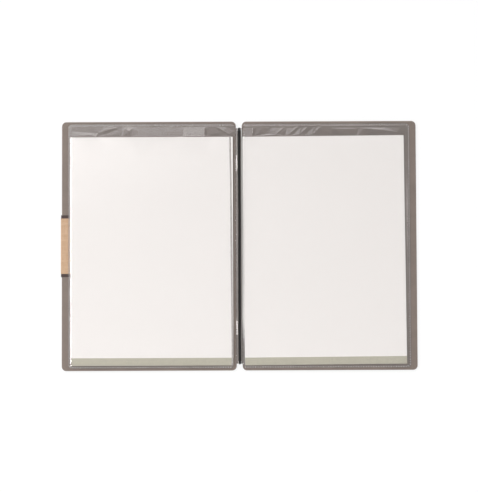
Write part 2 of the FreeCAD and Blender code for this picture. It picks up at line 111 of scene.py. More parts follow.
class MenuFolderSizes(bpy.types.PropertyGroup):
    film_wall: length("Film wall", "Thickness of the clear film", 0.2)
    crease: length("Crease", "Distance of a leaf's crease from the spine's middle", CREASE)
    crumple: length("Crumple", "How far the film stands up at the head of a pocket", 0.85)
    fore_bulge: length("Fore bulge", "How far the right film stands up beside its fore weld", 0.75)
    weld_width: length("Weld width", "Width of the flat welded edge of a pocket", 2.2)
    weld_slope: length("Weld slope", "Width of the step from the weld up over the paper", 0.6)
    weld_pitch: length("Weld pitch", "Distance from one weld dot to the next", 3.25)
    weld_inset: length("Weld inset", "Distance of the dots from the film's edge", 1.3)
    dot_length: length("Dot length", "Length of a weld dot along its seam", 1.6)
    dot_width: length("Dot width", "Width of a weld dot across its seam", 1.4)
    dot_height: length("Dot height", "Full height of a weld dot", 0.22)
    left_hem: length("Left hem", "Width of the hem along the left pocket's mouth", 2.1)
    right_hem: length("Right hem", "Width of the hem along the right pocket's mouth", 0.7)
    gutter_hump: length("Gutter hump", "How far the film arches up beside the elastic", 0.5)
    cord_sway: length("Cord sway", "How far the inner run of the elastic wanders sideways", 0.15)
    braid_relief: length("Braid relief", "Depth between the strands of the elastic's braid", 0.17)
    braid_step: length("Braid step", "Distance from one ring of the braid's mesh to the next", 0.42)
    braid_strands: IntProperty(
        name="Braid strands", description="Strands that wind each way round the elastic", default=6, min=3
    )
    fold_wall: length("Fold wall", "Thickness of the leatherette at the two folds", 0.3)
    fold_ear: length("Fold ear", "How far the folds reach past the spine strip at head and foot", 3.4)
    foot_band: length("Foot band", "Height of the printed band along the foot of a sheet", 9.8)


class MenuFolderColours(bpy.types.PropertyGroup):
    leatherette: colour("Leatherette", "Covers and spine", (0.195, 0.155, 0.132))
    lining: colour("Lining", "Inner lining of the covers", (0.28, 0.217, 0.196))
    greyboard: colour("Grey board", "Boards inside the covers", (0.31, 0.295, 0.27))
    paper: colour("Paper", "Both sheets", (0.92, 0.889, 0.864))
    foot_band: colour("Foot band", "Printed band along the foot of each sheet", (0.505, 0.478, 0.383))
    kraft: colour("Kraft", "Paper label", (0.49, 0.327, 0.207))
    backing: colour("Backing", "Dark strip behind the label", (0.05, 0.031, 0.028))
    elastic: colour("Elastic", "Braided cord", (0.0125, 0.0118, 0.0114))
    metal: colour("Crimp", "Metal sleeve on the elastic", (0.62, 0.61, 0.59))
    film: colour("Film", "What the clear film mirrors is tinted with this", (1.0, 0.965, 0.97))
    folded_film: colour("Folded film", "Film that lies in layers in the gutter", (0.5, 0.475, 0.47))
    # Painted light: the right folded film is painted this pale to stand in for the light it reflects over
    # the elastic's shade.
    painted_pale_film: colour("Milky film", "Film that lies folded beside the right sheet", (0.9, 0.87, 0.85))
    # Painted shade: the hem's grey is partly the folded film and partly a painted shadow along the film's
    # edge.
    hem: colour("Hem", "Folded edge of a pocket's mouth", (0.5, 0.462, 0.45))
    weld: colour("Weld", "Frosted weld dots", (0.58, 0.56, 0.55))
    floor: colour("Floor", "Floor under the folder", (0.95, 0.95, 0.95))


def sizes():
    return bpy.context.scene.menu_folder_sizes


def colours():
    return bpy.context.scene.menu_folder_colours


# Node helpers


def join(tree, source, target):
    tree.links.new(source, target)


def feed(tree, socket, value):
    """Gives an input a plain value, or joins another node's output to it."""
    if isinstance(value, bpy.types.NodeSocket):
        join(tree, value, socket)
    else:
        socket.default_value = value


def feed_all(tree, made, **inputs):
    """Feeds a node's inputs by name. An underscore stands for a space."""
    for name, value in inputs.items():
        feed(tree, made.inputs[name.replace("_", " ")], value)


def node(tree, kind, settings=None, **inputs):
    """A new node with its settings. Its inputs are sockets or plain values."""
    made = tree.nodes.new(kind)
    for name, value in (settings or {}).items():
        setattr(made, name, value)
    feed_all(tree, made, **inputs)
    return made


def math_node(tree, operation, *values, clamp=False):
    """A Math node whose inputs are sockets or plain numbers. Gives its output."""
    made = node(tree, "ShaderNodeMath", {"operation": operation, "use_clamp": clamp})
    for socket, value in zip(made.inputs, values):
        feed(tree, socket, value)
    return made.outputs[0]


def map_range(tree, value, low, high, to_low, to_high, smooth=False):
    """A value carried from one range to another and held at its ends."""
    made = node(tree, "ShaderNodeMapRange", {"interpolation_type": "SMOOTHSTEP" if smooth else "LINEAR"})
    for index, number in enumerate((value, low, high, to_low, to_high)):
        feed(tree, made.inputs[index], number)
    return made.outputs[0]


def mix_colour(tree, factor, first, second):
    """A colour mix. Its inputs are sockets or plain colours, and its factor a socket or a number."""
    made = node(tree, "ShaderNodeMix", {"data_type": "RGBA"})
    for index, value in ((0, factor), (6, first), (7, second)):
        ready = isinstance(value, (bpy.types.NodeSocket, float))
        feed(tree, made.inputs[index], value if ready else (*value[:3], 1.0))
    return made.outputs[2]


def tones(tree, mask, low, high, dark, pale):
    """A colour that goes from dark to pale while a mask goes from low to high."""
    return mix_colour(tree, map_range(tree, mask, low, high, 0.0, 1.0), dark, pale)


def shades(base, *strengths):
    """The same colour at other strengths, no brighter than white."""
    return [tuple(min(1.0, value * strength) for value in base) for strength in strengths]


def weigh(tree, *parts):
    """The sum of two sockets, each times its share."""
    return math_node(tree, "ADD", *(math_node(tree, "MULTIPLY", value, share) for value, share in parts))


def object_point(tree, scale=None):
    """Object coordinates, stretched if a scale is given."""
    place = tree.nodes.new("ShaderNodeTexCoord").outputs["Object"]
    if scale is None:
        return place
    return node(tree, "ShaderNodeMapping", Vector=place, Scale=scale).outputs["Vector"]


def noise(tree, place, scale, detail=2.0, roughness=0.5, distortion=0.0):
    made = node(tree, "ShaderNodeTexNoise", Vector=place, Scale=scale, Detail=detail)
    feed_all(tree, made, Roughness=roughness, Distortion=distortion)
    return made.outputs[0]


def voronoi(tree, place, scale, feature, randomness):
    """Distances in a Voronoi texture."""
    made = node(tree, "ShaderNodeTexVoronoi", {"feature": feature}, Vector=place, Scale=scale)
    feed_all(tree, made, Randomness=randomness)
    return made.outputs["Distance"]


def scale_for(tree, size, share=1.0):
    """The scale of a texture whose details have a size in metres."""
    return math_node(tree, "DIVIDE", share, size)


def shader_group(name, inputs, outputs):
    """An empty shader node group with float sockets. Gives it and what its two ends hold."""
    tree = bpy.data.node_groups.new(name, "ShaderNodeTree")
    for label, value in inputs:
        socket = tree.interface.new_socket(name=label, in_out="INPUT", socket_type="NodeSocketFloat")
        socket.default_value = value
    for label in outputs:
        tree.interface.new_socket(name=label, in_out="OUTPUT", socket_type="NodeSocketFloat")
    return tree, tree.nodes.new("NodeGroupInput").outputs, tree.nodes.new("NodeGroupOutput")


def leather_grain():
    """Pebbled grain with soft cloudy shading. Cell and Cloud are sizes in metres."""
    if "leather_grain" in bpy.data.node_groups:
        return bpy.data.node_groups["leather_grain"]
    tree, given, result = shader_group(
        "leather_grain", [("Cell", 0.0008), ("Cloud", 0.03)], ["Shade", "Height", "Roughness"]
    )
    place = object_point(tree)
    pebble = voronoi(tree, place, scale_for(tree, given["Cell"]), "DISTANCE_TO_EDGE", 0.95)
    valley = map_range(tree, pebble, 0.0, 0.22, 0.0, 1.0, smooth=True)
    cloud = noise(tree, place, scale_for(tree, given["Cloud"]), 3.0)
    fine = noise(tree, place, 2600.0)
    feed_all(
        tree,
        result,
        Shade=weigh(tree, (cloud, 0.7), (valley, 0.3)),
        Height=math_node(tree, "MULTIPLY_ADD", fine, 0.35, valley),
        Roughness=map_range(tree, valley, 0.0, 1.0, 0.72, 0.5),
    )
    return tree


def paper_fibre():
    """Paper tooth with longer fibres lying in it. Tooth and Fibre are sizes in metres."""
    if "paper_fibre" in bpy.data.node_groups:
        return bpy.data.node_groups["paper_fibre"]
    tree, given, result = shader_group(
        "paper_fibre", [("Tooth", 0.0004), ("Fibre", 0.002)], ["Shade", "Height", "Fleck"]
    )
    tooth = noise(tree, object_point(tree), scale_for(tree, given["Tooth"]), 3.0, 0.6)
    long = scale_for(tree, given["Fibre"])
    strands = [
        noise(tree, object_point(tree, stretch), long, distortion=0.8)
        for stretch in ((0.12, 1.0, 1.0), (1.0, 0.15, 1.0))
    ]
    fibre = math_node(tree, "MAXIMUM", *strands)
    flat = object_point(tree, (0.45, 1.0, 1.0))
    fleck = voronoi(tree, flat, scale_for(tree, given["Fibre"], 0.8), "F1", 1.0)
    feed_all(
        tree,
        result,
        Shade=weigh(tree, (tooth, 0.45), (fibre, 0.55)),
        Height=math_node(tree, "ADD", tooth, fibre),
        Fleck=map_range(tree, fleck, 0.06, 0.16, 1.0, 0.0),
    )
    return tree


def film_ripple():
    """Slow ripples and a faint haze for clear film. Ripple is their size in metres."""
    if "film_ripple" in bpy.data.node_groups:
        return bpy.data.node_groups["film_ripple"]
    tree, given, result = shader_group("film_ripple", [("Ripple", 0.016)], ["Height", "Roughness"])
    wide = object_point(tree, (1.0, 0.6, 1.0))
    slow = noise(tree, wide, scale_for(tree, given["Ripple"]), distortion=0.4)
    haze = noise(tree, object_point(tree), 90.0, 4.0, 0.6)
    feed_all(tree, result, Height=slow, Roughness=map_range(tree, haze, 0.3, 0.75, 0.02, 0.06))
    return tree


def place_group(tree, group, **values):
    """A node that runs a group. Gives its outputs."""
    return node(tree, "ShaderNodeGroup", {"node_tree": group}, **values).outputs


def bump(tree, shader, height, strength, distance):
    """Puts a height into a shader's normal. Distance is the relief in metres."""
    made = node(tree, "ShaderNodeBump", Height=height, Strength=strength, Distance=distance)
    join(tree, made.outputs["Normal"], shader.inputs["Normal"])


def new_material(name):
    """An empty material with one Principled shader on its output."""
    material = bpy.data.materials.new(name)
    material.use_nodes = True
    tree = material.node_tree
    tree.nodes.clear()
    shader = tree.nodes.new("ShaderNodeBsdfPrincipled")
    output = node(tree, "ShaderNodeOutputMaterial", Surface=shader.outputs[0])
    return material, tree, shader, output


def mix_shaders(tree, share, first, second, output):
    """Puts a mix of two shaders on a material's output."""
    blend = tree.nodes.new("ShaderNodeMixShader")
    for socket, value in zip(blend.inputs, (share, first.outputs[0], second.outputs[0])):
        feed(tree, socket, value)
    join(tree, blend.outputs[0], output.inputs["Surface"])


def leatherette_material(name, turned_in=False):
    """Fine-grained leatherette, paler in patches along the covers' edges as a painted highlight where the
    rounded edges catch light.
    """
    if name in bpy.data.materials:
        return bpy.data.materials[name]
    material, tree, shader, _ = new_material(name)
    dark, pale, edge_highlight_tone = shades(colours().leatherette, 0.84, 1.12, 1.35)
    grain = place_group(tree, leather_grain(), Cell=0.00085, Cloud=0.028)
    tone = tones(tree, grain["Shade"], 0.3, 0.75, dark, pale)
    height = grain["Height"]
    if turned_in:
        place = node(tree, "ShaderNodeSeparateXYZ", Vector=object_point(tree)).outputs
        across = math_node(tree, "ABSOLUTE", place["X"])
        along = math_node(tree, "ABSOLUTE", place["Y"])
        from_side = math_node(tree, "SUBTRACT", SKIN_HIGH[0] * MM, across)
        from_head = math_node(tree, "SUBTRACT", SKIN_HIGH[1] * MM, along)
        nearest = math_node(tree, "MINIMUM", from_side, from_head)
        # Painted highlight: a patchy pale band up to 1.2 mm wide along the covers' edges, where the rounded
        # edges catch light.
        edge_highlight_noise = noise(tree, object_point(tree), 220.0, 4.0, 0.65)
        edge_highlight = math_node(tree, "LESS_THAN", nearest, map_range(tree, edge_highlight_noise, 0.35, 0.7, 0.0, 0.0012))
        tone = mix_colour(tree, math_node(tree, "MULTIPLY", edge_highlight, 0.55), tone, edge_highlight_tone)
        mitre = math_node(tree, "ABSOLUTE", math_node(tree, "SUBTRACT", from_side, from_head))
        inside = math_node(tree, "GREATER_THAN", place["Z"], (SKIN_HIGH[2] - 0.3) * MM)
        groove = math_node(tree, "MULTIPLY", map_range(tree, mitre, 0.0, 0.0005, 1.0, 0.0), inside)
        height = math_node(tree, "SUBTRACT", height, math_node(tree, "MULTIPLY", groove, 3.0))
        tone = mix_colour(tree, math_node(tree, "MULTIPLY", groove, 0.5), tone, dark)
    feed_all(tree, shader, Base_Color=tone, Roughness=grain["Roughness"])
    bump(tree, shader, height, 0.5, 0.00012)
    return material


def fibrous_material(name, tooth, strand, strength, relief):
    """A new material with the relief of paper fibres. Gives what the fibres' group puts out as well."""
    material, tree, shader, _ = new_material(name)
    fibre = place_group(tree, paper_fibre(), Tooth=tooth, Fibre=strand)
    bump(tree, shader, fibre["Height"], strength, relief)
    return material, tree, shader, fibre


def lining_material():
    """Soft non-woven lining."""
    material, tree, shader, fibre = fibrous_material("non_woven_lining", 0.0007, 0.003, 0.5, 0.0001)
    tone = tones(tree, fibre["Shade"], 0.35, 0.65, *shades(colours().lining, 0.8, 1.2))
    feed_all(tree, shader, Base_Color=tone, Roughness=0.85, Sheen_Weight=0.15)
    return material


def greyboard_material():
    """Coarse grey board with dark flecks."""
    material, tree, shader, fibre = fibrous_material("grey_board", 0.0009, 0.004, 0.4, 0.0001)
    dark, pale = shades(colours().greyboard, 0.75, 1.18)
    tone = tones(tree, fibre["Shade"], 0.35, 0.65, dark, pale)
    tone = mix_colour(tree, math_node(tree, "MULTIPLY", fibre["Fleck"], 0.6), tone, dark)
    feed_all(tree, shader, Base_Color=tone, Roughness=0.92)
    return material


def film_material(name, base, metallic, share=None):
    """Film: see-through, and for a share a mirror or a milky veil, more so where it is seen edge-on.

    Without a share, the mesh's veil attribute is the share."""
    if name in bpy.data.materials:
        return bpy.data.materials[name]
    material, tree, shader, output = new_material(name)
    ripple = place_group(tree, film_ripple(), Ripple=0.016)
    feed_all(tree, shader, Base_Color=(*base, 1.0), Metallic=metallic, Roughness=ripple["Roughness"])
    bump(tree, shader, ripple["Height"], 0.3, 0.00012)
    facing = node(tree, "ShaderNodeLayerWeight", Blend=0.5).outputs["Facing"]
    grazing = math_node(tree, "POWER", facing, 5.0)
    if share is None:
        share = node(tree, "ShaderNodeAttribute", {"attribute_name": "veil"}).outputs["Fac"]
    mirror = math_node(tree, "MULTIPLY_ADD", grazing, 0.7, share)
    mix_shaders(tree, mirror, tree.nodes.new("ShaderNodeBsdfTransparent"), shader, output)
    return material


def pocket_film(face):
    """Front film is glossier than back film, which lies against the lining."""
    mirrored = 0.1 if face == "front" else 0.022
    return film_material(f"{face}_film", colours().film, 1.0, mirrored)


def folded_film(side):
    """The pockets' film where it lies folded in layers. The left film is a little milky; the right film is
    painted pale, a painted reflection that lifts it out of the elastic's shade.
    """
    if side == "left":
        return film_material("left_folded_film", colours().folded_film, 0.3)
    return film_material("right_folded_film", colours().painted_pale_film, 0.0)


def frosted_material(name, base, cover, roughness):
    """Film that is pressed or folded, so that it is milky. Cover is how much of it shows."""
    if name in bpy.data.materials:
        return bpy.data.materials[name]
    material, tree, shader, _ = new_material(name)
    dark, pale = shades(base, 0.86, 1.12)
    cloud = noise(tree, object_point(tree), 420.0, 3.0)
    tone = tones(tree, cloud, 0.3, 0.7, dark, pale)
    dull = map_range(tree, cloud, 0.3, 0.7, roughness, roughness + 0.15)
    feed_all(tree, shader, Base_Color=tone, Roughness=dull, Alpha=cover)
    bump(tree, shader, cloud, 0.3, 0.00008)
    return material


def elastic_material():
    """Black braided yarn, paler on the crowns of its strands as a painted highlight. Crown is an attribute
    of the mesh.
    """
    material, tree, shader, _ = new_material("braided_elastic")
    dark, pale = shades(colours().elastic, 0.4, 1.7)
    crown = node(tree, "ShaderNodeAttribute", {"attribute_name": "crown"}).outputs["Fac"]
    lint = noise(tree, object_point(tree), 700.0, 3.0)
    # Painted highlight: the crowns of the strands are painted paler, more or less with the lint.
    crown_highlight = math_node(tree, "MULTIPLY", crown, map_range(tree, lint, 0.3, 0.7, 0.35, 1.0))
    tone = mix_colour(tree, crown_highlight, dark, pale)
    dull = map_range(tree, lint, 0.3, 0.7, 0.65, 0.9)
    feed_all(tree, shader, Base_Color=tone, Roughness=dull, Specular_IOR_Level=0.25)
    yarn = noise(tree, object_point(tree, (1.0, 0.35, 1.0)), 5200.0)
    bump(tree, shader, yarn, 0.6, 0.00006)
    return material


def crimp_material():
    """Brushed nickel with dull patches."""
    material, tree, shader, _ = new_material("nickel_crimp")
    base = colours().metal
    (dark,) = shades(base, 0.7)
    brushed = noise(tree, object_point(tree, (1.0, 0.06, 1.0)), 3200.0, 3.0, 0.6)
    patches = noise(tree, object_point(tree), 420.0, 3.0)
    tone = tones(tree, patches, 0.35, 0.7, base, dark)
    dull = map_range(tree, brushed, 0.3, 0.7, 0.22, 0.42)
    feed_all(tree, shader, Base_Color=tone, Metallic=1.0, Roughness=dull)
    bump(tree, shader, brushed, 0.25, 0.00004)
    return material


def paper_material(side, turn):
    """White uncoated paper with a printed band along its foot, square to the sheet's own edges."""
    material, tree, shader, fibre = fibrous_material(f"{side}_paper", 0.00035, 0.0016, 0.25, 0.00003)
    base = colours().paper
    (dark,) = shades(base, 0.965)
    thin_ink, full_ink = shades(colours().foot_band, 1.1, 0.93)
    low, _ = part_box(f"{side}_sheet")
    near = node(
        tree,
        "ShaderNodeMapping",
        {"vector_type": "TEXTURE"},
        Vector=object_point(tree),
        Location=(low[0] + math.sin(turn) * SHEET_HEIGHT * MM, low[1], 0.0),
        Rotation=(0.0, 0.0, turn),
    )
    place = node(tree, "ShaderNodeSeparateXYZ", Vector=near.outputs["Vector"]).outputs
    white = tones(tree, fibre["Shade"], 0.35, 0.65, dark, base)
    ink = tones(tree, fibre["Shade"], 0.38, 0.62, thin_ink, full_ink)
    edge = math_node(tree, "MULTIPLY_ADD", fibre["Shade"], 0.00012, sizes().foot_band - 0.00006)
    printed = math_node(tree, "LESS_THAN", place["Y"], edge)
    dull = map_range(tree, fibre["Shade"], 0.3, 0.7, 0.62, 0.8)
    feed_all(tree, shader, Base_Color=mix_colour(tree, printed, white, ink), Roughness=dull)
    return material


def kraft_material():
    """Brown kraft paper, cloudy and flecked. Its dark fibres are redder than its pale ones."""
    material, tree, shader, fibre = fibrous_material("kraft_paper", 0.0005, 0.0022, 0.45, 0.00005)
    base = colours().kraft
    dark = tuple(value * strength for value, strength in zip(base, (0.8, 0.74, 0.66)))
    pale = tuple(min(1.0, value * strength) for value, strength in zip(base, (1.1, 1.12, 1.2)))
    tone = tones(tree, fibre["Shade"], 0.36, 0.64, dark, pale)
    cloud = noise(tree, object_point(tree), 60.0, 3.0)
    tone = mix_colour(tree, map_range(tree, cloud, 0.35, 0.7, 0.0, 0.35), tone, base)
    tone = mix_colour(tree, math_node(tree, "MULTIPLY", fibre["Fleck"], 0.45), tone, dark)
    feed_all(tree, shader, Base_Color=tone, Roughness=map_range(tree, fibre["Shade"], 0.3, 0.7, 0.72, 0.9))
    return material


def backing_material():
    """Dark card behind the label."""
    material, tree, shader, fibre = fibrous_material("dark_backing_card", 0.0005, 0.002, 0.4, 0.00005)
    tone = tones(tree, fibre["Shade"], 0.35, 0.65, *shades(colours().backing, 0.7, 1.4))
    feed_all(tree, shader, Base_Color=tone, Roughness=map_range(tree, fibre["Shade"], 0.3, 0.7, 0.6, 0.8))
    return material


# Mesh helpers


def dress(node_name, material):
    """Gives a CAD node that stays its finish."""
    slots = frame["nodes"][node_name].material_slots
    if not slots:
        raise RuntimeError(f"{node_name} has no material slot")
    for slot in slots:
        slot.material = material


def in_metres(points_mm):
    return [tuple(value * MM for value in point) for point in points_mm]


def new_object(name, data):
    """An object in the scene's collection."""
    made = bpy.data.objects.new(name, data)
    bpy.context.scene.collection.objects.link(made)
    return made


def new_piece(name, points_mm, faces, material, flat=()):
    """A mesh object from points in millimetres. The faces whose numbers are in flat keep hard edges."""
    mesh = bpy.data.meshes.new(name)
    mesh.from_pydata(in_metres(points_mm), [], faces)
    mesh.validate()
    mesh.polygons.foreach_set("use_smooth", [True] * len(mesh.polygons))
    for index in flat:
        mesh.polygons[index].use_smooth = False
    mesh.materials.append(material)
    return new_object(name, mesh)


def store(made, name, values):
    """Keeps one number for each point of a piece, under a name that its material reads."""
    made.data.attributes.new(name, "FLOAT", "POINT").data.foreach_set("value", values)


def face_outwards(made, crisp=40.0):
    """Turns the normals outwards. Flat faces, and edges that bend by more than crisp degrees, stay hard."""
    mesh = bmesh.new()
    mesh.from_mesh(made.data)
    bmesh.ops.recalc_face_normals(mesh, faces=mesh.faces)
    smooth = [face.smooth for face in mesh.faces]
    mesh.to_mesh(made.data)
    mesh.free()
    made.data.set_sharp_from_angle(angle=math.radians(crisp))
    made.data.polygons.foreach_set("use_smooth", smooth)


def closed_sheet(top, faces, wall):
    """A sheet with a wall: its top points, the same points lower by the wall, and the rim between them."""
    count = len(top)
    points = list(top) + [(x, y, z - wall) for x, y, z in top]
    under = [tuple(index + count for index in reversed(face)) for face in faces]
    sides = dict.fromkeys(side for face in faces for side in zip(face, face[1:] + face[:1]))
    rim = [
        (second, first, first + count, second + count)
        for first, second in sides
        if (second, first) not in sides
    ]
    return points, list(faces) + under + rim


def strip_faces(rows, columns, closed_rows=False, closed_columns=False):
    """Quads over a grid of points that is stored row by row."""
    faces = []
    for row in range(rows if closed_rows else rows - 1):
        here = row * columns
        after = (row + 1) % rows * columns
        for column in range(columns if closed_columns else columns - 1):
            beside = (column + 1) % columns
            faces.append((here + column, here + beside, after + beside, after + column))
    return faces


def tube_faces(rows, ring):
    """Quads round a tube that is stored ring by ring, and a lid at both ends."""
    last = (rows - 1) * ring
    lids = [tuple(range(ring)), tuple(last + index for index in range(ring))]
    return strip_faces(rows, ring, closed_columns=True) + lids


def add_shell(points, faces, more_points, more_faces):
    """Adds another shell to the points and faces of a mesh."""
    start = len(points)
    points += more_points
    faces += [tuple(start + corner for corner in face) for face in more_faces]


def flat_bead(rows, sign):
    """A closed bead through rows of (place along it, near edge, far edge, underside, half its height)."""
    ring = 10
    points = []
    for v, near, far, under, lift in rows:
        for index in range(ring):
            angle = 2.0 * math.pi * index / ring
            u = (near + far) / 2.0 + (far - near) / 2.0 * math.cos(angle)
            points.append((sign * u, v, under + lift * (1.0 + math.sin(angle))))
    return points, tube_faces(len(rows), ring)


def spread(start, end, pitch):
    """Even steps from start to end, both included."""
    steps = max(1, round(abs(end - start) / pitch))
    return [start + (end - start) * step / steps for step in range(steps + 1)]


def ramp(value, start, width):
    """A share that climbs from 0 at the start to 1 after the width."""
    return min(1.0, max(0.0, (value - start) / width))


def arc(u, v, radius, start, end):
    """Points round a corner between two angles in degrees, without the first."""
    turns = [math.radians(turn) for turn in spread(start, end, 15.0)[1:]]
    return [(u + radius * math.cos(turn), v + radius * math.sin(turn)) for turn in turns]


def rim_row(near, far, half, inset, pitch):
    """Points along a leaf's foot, fore edge and head, at one distance inside its outline."""
    straight = half - LEAF_CORNER
    row = [(u, inset - half) for u in spread(near, far - LEAF_CORNER, pitch)]
    row += arc(far - LEAF_CORNER, -straight, LEAF_CORNER - inset, -90.0, 0.0)
    row += [(far - inset, v) for v in spread(-straight, straight, pitch)[1:]]
    row += arc(far - LEAF_CORNER, straight, LEAF_CORNER - inset, 0.0, 90.0)
    row += [(u, half - inset) for u in spread(far - LEAF_CORNER, near, pitch)[1:]]
    return row


class FilmDraft:
    """Points and creases of one film, as (distance from the spine's middle, place along it, height)."""

    def __init__(self):
        self.places = []
        self.heights = []
        self.creases = []

    def add(self, u, v, height):
        self.places.append(Vector((u, v)))
        self.heights.append(height)
        return len(self.places) - 1

    def line(self, points):
        """Points that are joined by creases, one to the next. Gives their numbers."""
        made = [self.add(*point) for point in points]
        self.fold(made)
        return made

    def fold(self, numbers):
        """Creases from each point to the next, by their numbers."""
        self.creases += list(zip(numbers, numbers[1:]))

    def clear_of(self, u, v, distance):
        return all((place - Vector((u, v))).length > distance for place in self.places)

    def triangles(self):
        """The film's points and triangles. A point where two creases cross takes its neighbours' height."""
        places, _, faces, sources, _, _ = delaunay_2d_cdt(self.places, self.creases, [], 0, 1e-4)
        heights = [self.heights[source[0]] if source else None for source in sources]
        around = {index: [] for index, height in enumerate(heights) if height is None}
        for face in faces:
            for index in face:
                if index in around:
                    around[index] += [heights[other] for other in face if heights[other] is not None]
        for index, near in around.items():
            heights[index] = sum(near) / len(near)
        points = [(place.x, place.y, height) for place, height in zip(places, heights)]
        return points, [tuple(face) for face in faces]


# How the film lies at the head of each pocket. The line runs along the paper's edge, as millimetres from
# the spine's middle and a share of the crumple's height. The creases stand above it, as millimetres from
# the spine's middle, millimetres along it, and that share.
HEAD_LINE = {
    "left": [
        (13.0, 0.05), (26.0, 0.0), (41.0, 0.0), (44.5, 0.98), (69.0, 0.95), (72.5, 0.42), (98.0, 0.44),
        (126.0, 0.42), (140.0, 0.36), (152.0, 0.1), (183.0, 0.0), (186.0, 0.3), (214.0, 0.24),
    ],
    "right": [
        (7.5, 0.4), (10.5, 0.5), (17.0, 0.5), (20.0, 0.0), (60.0, 0.0), (100.0, 0.0), (126.0, 0.05),
        (153.0, 0.0), (156.0, 0.2), (166.0, 0.2), (172.0, 0.0), (194.0, 0.05), (212.0, 0.0),
    ],
}
HEAD_CREASES = {
    "left": [
        [(217.0, 149.4, 0.0), (201.0, 148.4, 0.0), (186.5, 147.0, 0.0)],
        [(184.0, 147.2, 0.08), (172.0, 151.2, 0.24), (161.5, 153.7, 0.2)],
        [(179.5, 144.6, 0.0), (168.0, 148.0, 0.0), (157.0, 152.4, 0.0)],
        [(148.5, 153.4, 0.34), (143.0, 149.6, 0.52), (138.5, 153.6, 0.23)],
        [(72.5, 144.4, 0.36), (72.0, 153.6, 0.08)],
        [(69.0, 144.4, 0.82), (68.6, 153.6, 0.17)],
        [(44.8, 144.4, 0.84), (44.4, 153.4, 0.19)],
        [(41.4, 144.4, 0.0), (41.0, 153.4, 0.0)],
        [(31.0, 153.4, 0.0), (23.0, 148.0, 0.0), (17.5, 144.6, 0.0)],
        [(27.0, 153.6, 0.11), (19.5, 149.2, 0.34), (13.0, 145.4, 0.3)],
    ],
    "right": [
        [(17.6, 144.4, 0.44), (18.4, 153.4, 0.1)],
        [(20.8, 144.4, 0.0), (21.6, 153.4, 0.0)],
        [(32.0, 144.8, 0.0), (42.0, 153.4, 0.0)],
        [(48.0, 144.6, 0.53), (58.0, 153.6, 0.4)],
        [(53.0, 144.6, 0.0), (63.0, 153.4, 0.0)],
        [(65.0, 144.8, 0.53), (75.0, 153.6, 0.4)],
        [(71.0, 144.6, 0.0), (81.0, 153.4, 0.0)],
        [(79.0, 144.8, 0.46), (89.0, 153.6, 0.4)],
        [(87.0, 144.8, 0.0), (97.0, 153.4, 0.0)],
        [(96.0, 144.8, 0.46), (105.0, 153.6, 0.34)],
        [(122.0, 152.6, 0.08), (138.0, 151.6, 0.16), (152.6, 151.2, 0.16)],
        [(154.0, 144.6, 0.0), (154.4, 153.4, 0.0)],
        [(164.0, 152.4, 0.4), (184.0, 150.4, 0.46), (206.0, 147.6, 0.34)],
        [(171.0, 147.4, 0.0), (190.0, 146.2, 0.0), (208.0, 144.8, 0.0)],
    ],
}


def leaf_extent(side):
    """Mouth, fore edge, half height and the two levels of a pocket's front film, in millimetres."""
    low, high = box_mm(f"{side}_front_film")
    across = sorted((abs(low[0]), abs(high[0])))
    return across[0], across[1], high[1], low[2], high[2]


def mouth_at(side, mouth, v):
    """Where a pocket's mouth is. The left one leans to the spine towards its foot, in a slight bow."""
    if side == "right":
        return mouth
    shift = 0.75
    lean = v / 145.0
    return mouth - shift + lean + 0.3 * lean * lean


def head_share(side, u):
    """Share of the crumple's height that the film has at the paper's head edge."""
    line = HEAD_LINE[side]
    for (start, low), (end, high) in zip(line, line[1:]):
        if start <= u <= end:
            return low + (high - low) * (u - start) / (end - start)
    return 0.0


